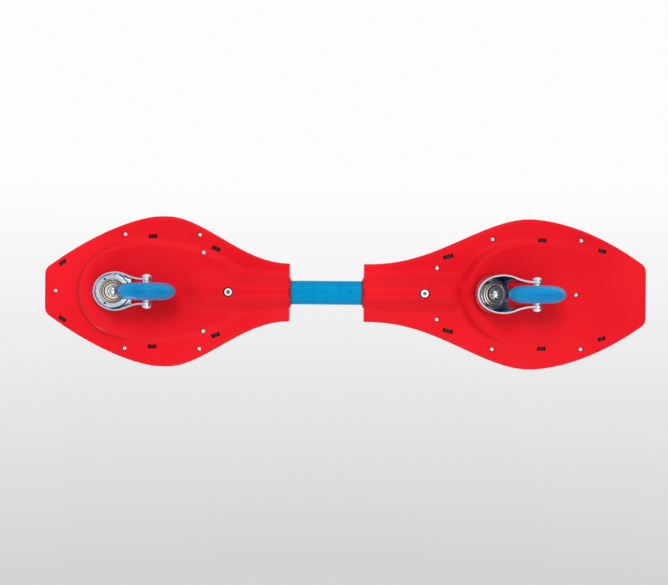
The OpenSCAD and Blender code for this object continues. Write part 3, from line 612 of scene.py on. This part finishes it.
# Race cups, with rolled rings round the kingpin
def race_cup(end):
    name = end + "_race_cup"
    place = upright_at(swivel_of[end]["pos_m"], swivel_of[end]["axis"])
    corners = [place.inverted() @ vert.co for vert in nodes[name].data.vertices]
    rim = max(corner.xy.length for corner in corners)
    hole = min(corner.xy.length for corner in corners)
    high = max(corner.z for corner in corners)
    low = min(corner.z for corner in corners)
    inside = rim - CUP_WALL
    rings = [(rim, high)]
    rings += [(rim - inward, low + height) for inward, height in CUP_FACE]
    rings += [(hole, low), (hole, low + CUP_FLOOR), (inside, low + CUP_FLOOR + CUP_SLOPE)]
    rings += [(inside, high), (rim, high)]
    form = bmesh.new()
    turned(form, rings, CUP_SIDES, place)
    weld(form)
    mesh = built_mesh(form, name + "_form", CRISP_CUP)
    # Marks the corners in the grooves, where the finish paints shade
    marks = mesh.attributes.new("groove", "FLOAT", "POINT").data
    for vert, mark in zip(mesh.vertices, marks):
        local = place.inverted() @ vert.co
        off_groove = min(abs(local.xy.length - rim + inward) for inward in CUP_GROOVES)
        deep = local.z < low + CUP_EDGE and off_groove < GROOVE_REACH
        mark.value = GROOVE_SHADE_SHARE if deep else 0.0
    stand_in(name, mesh, cup_gold)


# Grip studs over the traction plates, where the plate is level enough to carry them
def grip_studs(end):
    plate = end + "_traction_plate"
    form = copied_form(plate)
    skin = BVHTree.FromBMesh(form)
    form.free()
    low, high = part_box(plate)
    rows = int((high[0] - low[0]) / (STUD_PITCH * STUD_ROW_SHARE)) + 1
    lines = int((high[1] - low[1]) / STUD_PITCH) + 2
    around = ((0, 0), (STUD_CLEARANCE, 0), (-STUD_CLEARANCE, 0), (0, STUD_CLEARANCE), (0, -STUD_CLEARANCE))
    studs = bmesh.new()
    for row in range(rows):
        x = low[0] + STUD_MARGIN + row * STUD_PITCH * STUD_ROW_SHARE
        for line in range(-lines // 2, lines // 2 + 1):
            y = (line + 0.5 * (row % 2)) * STUD_PITCH
            hits = [skin.ray_cast(Vector((x + dx, y + dy, ABOVE_BOARD)), Vector((0, 0, -1)))
                    for dx, dy in around]
            if all(hit[0] for hit in hits):
                heights = [hit[0].z for hit in hits]
                point, way = hits[0][:2]
                if max(heights) - min(heights) < STUD_MAX_RISE:
                    turned(studs, STUD_PROFILE, STUD_SIDES, upright_at(point, way))
    name = end + "_grip_studs"
    piece = add_piece(name, built_mesh(studs, name, CRISP_STUD), grip)
    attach(piece, body_of[plate])


# Floor, seen only from above, and clear to the light on the underside and to mirrored rays
def floor_paper():
    made = Finish("pale paper")
    tone = made.mottle(made.noise(3), (0.80, 0.80, 0.80), (0.83, 0.83, 0.83))
    made.set(Base_Color=tone, Roughness=0.9)
    unseen = made.value("ShaderNodeNewGeometry", "Backfacing")
    for ray in ("Is Shadow Ray", "Is Glossy Ray"):
        unseen = unseen.most(made.light_path(ray))
    clear = made.add("ShaderNodeBsdfTransparent").outputs[0]
    shown = made.mix_shaders(unseen, made.shader.outputs[0], clear)
    made.feed(made.out.inputs["Surface"], shown)
    return made.material


def studio_floor():
    form = bmesh.new()
    bmesh.ops.create_grid(form, x_segments=1, y_segments=1, size=FLOOR_HALF)
    mesh = bpy.data.meshes.new("studio_floor")
    form.to_mesh(mesh)
    form.free()
    mesh.materials.append(floor_paper())
    floor = bpy.data.objects.new("studio_floor", mesh)
    floor.location = (0, 0, -FLOOR_DROP)
    bpy.context.collection.objects.link(floor)


# World: even light, a grey backdrop for the camera, and a room for the metal to mirror
def studio_world():
    world = bpy.data.worlds.new("studio")
    bpy.context.scene.world = world
    world.use_nodes = True
    sky = Graph(world.node_tree, "Generated")

    def background(colour, strength):
        return sky.add("ShaderNodeBackground", inputs={"Color": colour, "Strength": strength}).outputs[0]

    deep_navy = (0.004, 0.016, 0.06)
    mirrored_room = sky.ramp(sky.span(sky.axis("X"), -1, 1), (
        (0, deep_navy),
        (0.12, deep_navy),
        (0.20, (0.78, 0.93, 1.0)),
        (0.32, (1.0, 1.0, 1.0)),
        (0.85, (0.45, 0.50, 0.58)),
        (1, (0.30, 0.36, 0.45)),
    ))
    backdrop = sky.span(sky.axis("Y"), -0.3, 0.12, to_low=0.66, to_high=0.98)
    shown = background((0.95, 0.97, 1.0), 0.42)
    shown = sky.mix_shaders(sky.light_path("Is Glossy Ray"), shown, background(mirrored_room, 1.0))
    shown = sky.mix_shaders(sky.light_path("Is Camera Ray"), shown, background(backdrop, 1.0))
    sky.add("ShaderNodeOutputWorld", inputs={"Surface": shown})


# Lamps: soft ones under the board for the photograph's view, and wide ones over it
def soft_lamp(name, place, aim, size, power, mirrored=True, lights=True):
    lamp = bpy.data.lights.new(name, "AREA")
    lamp.shape = "DISK"
    lamp.size = size
    lamp.energy = power
    # No bounces, which keeps most of the red glow of the underside off the floor
    lamp.cycles.max_bounces = 0
    holder = bpy.data.objects.new(name, lamp)
    holder.location = place
    holder.visible_glossy = mirrored
    holder.visible_diffuse = lights
    holder.rotation_euler = (Vector(aim) - Vector(place)).to_track_quat("-Z", "Y").to_euler()
    bpy.context.collection.objects.link(holder)


def wide_light(name, towards, spread, power):
    lamp = bpy.data.lights.new(name, "SUN")
    lamp.angle = math.radians(spread)
    lamp.energy = power
    holder = bpy.data.objects.new(name, lamp)
    holder.rotation_euler = Vector(towards).to_track_quat("Z", "Y").to_euler()
    bpy.context.collection.objects.link(holder)


# Camera, square on to the underside, with the nose at the picture's left
def underside_camera():
    lens = bpy.data.cameras.new("camera")
    lens.sensor_width = SENSOR_WIDTH
    lens.lens = SENSOR_WIDTH * CAMERA_DISTANCE / SEEN_WIDTH
    lens.clip_start = 0.01
    lens.clip_end = 50
    roll = math.radians(CAMERA_ROLL)
    right = Vector((-math.cos(roll), math.sin(roll), 0))
    up = Vector((math.sin(roll), math.cos(roll), 0))
    back = Vector((0, 0, -1))
    place = Vector((CAMERA_X, CAMERA_Y, RIM_HEIGHT - CAMERA_DISTANCE))
    camera = bpy.data.objects.new("camera", lens)
    camera.matrix_world = Matrix.Translation(place) @ Matrix((right, up, back)).transposed().to_4x4()
    bpy.context.collection.objects.link(camera)
    bpy.context.scene.camera = camera


# The board
for name in nodes:
    if not name.endswith(("plate_screws", "race_cup", "torsion_bar")):
        carry_over(name)
torsion_bar()
for end in ENDS:
    plate_screws(end)
    race_cup(end)
    grip_studs(end)

# The studio
studio_floor()
studio_world()
soft_lamp("under key", (0.15, 0.9, -1.9), aim=(0, 0, 0.1), size=0.8, power=19.3, mirrored=False)
soft_lamp("under fill", (-0.6, -0.9, -2.0), aim=(0, 0, 0.1), size=1.8, power=15.6)
for side in (1, -1):
    soft_lamp("streak", (0, 1.6 * side, -1.1), aim=(0, 0, 0.05), size=0.3, power=4, lights=False)
wide_light("over key", towards=(0.9, -1.3, 2.0), spread=28, power=1.6)
wide_light("over fill", towards=(-1.4, 0.9, 1.6), spread=45, power=0.8)
underside_camera()
bpy.context.scene.view_settings.view_transform = "Standard"
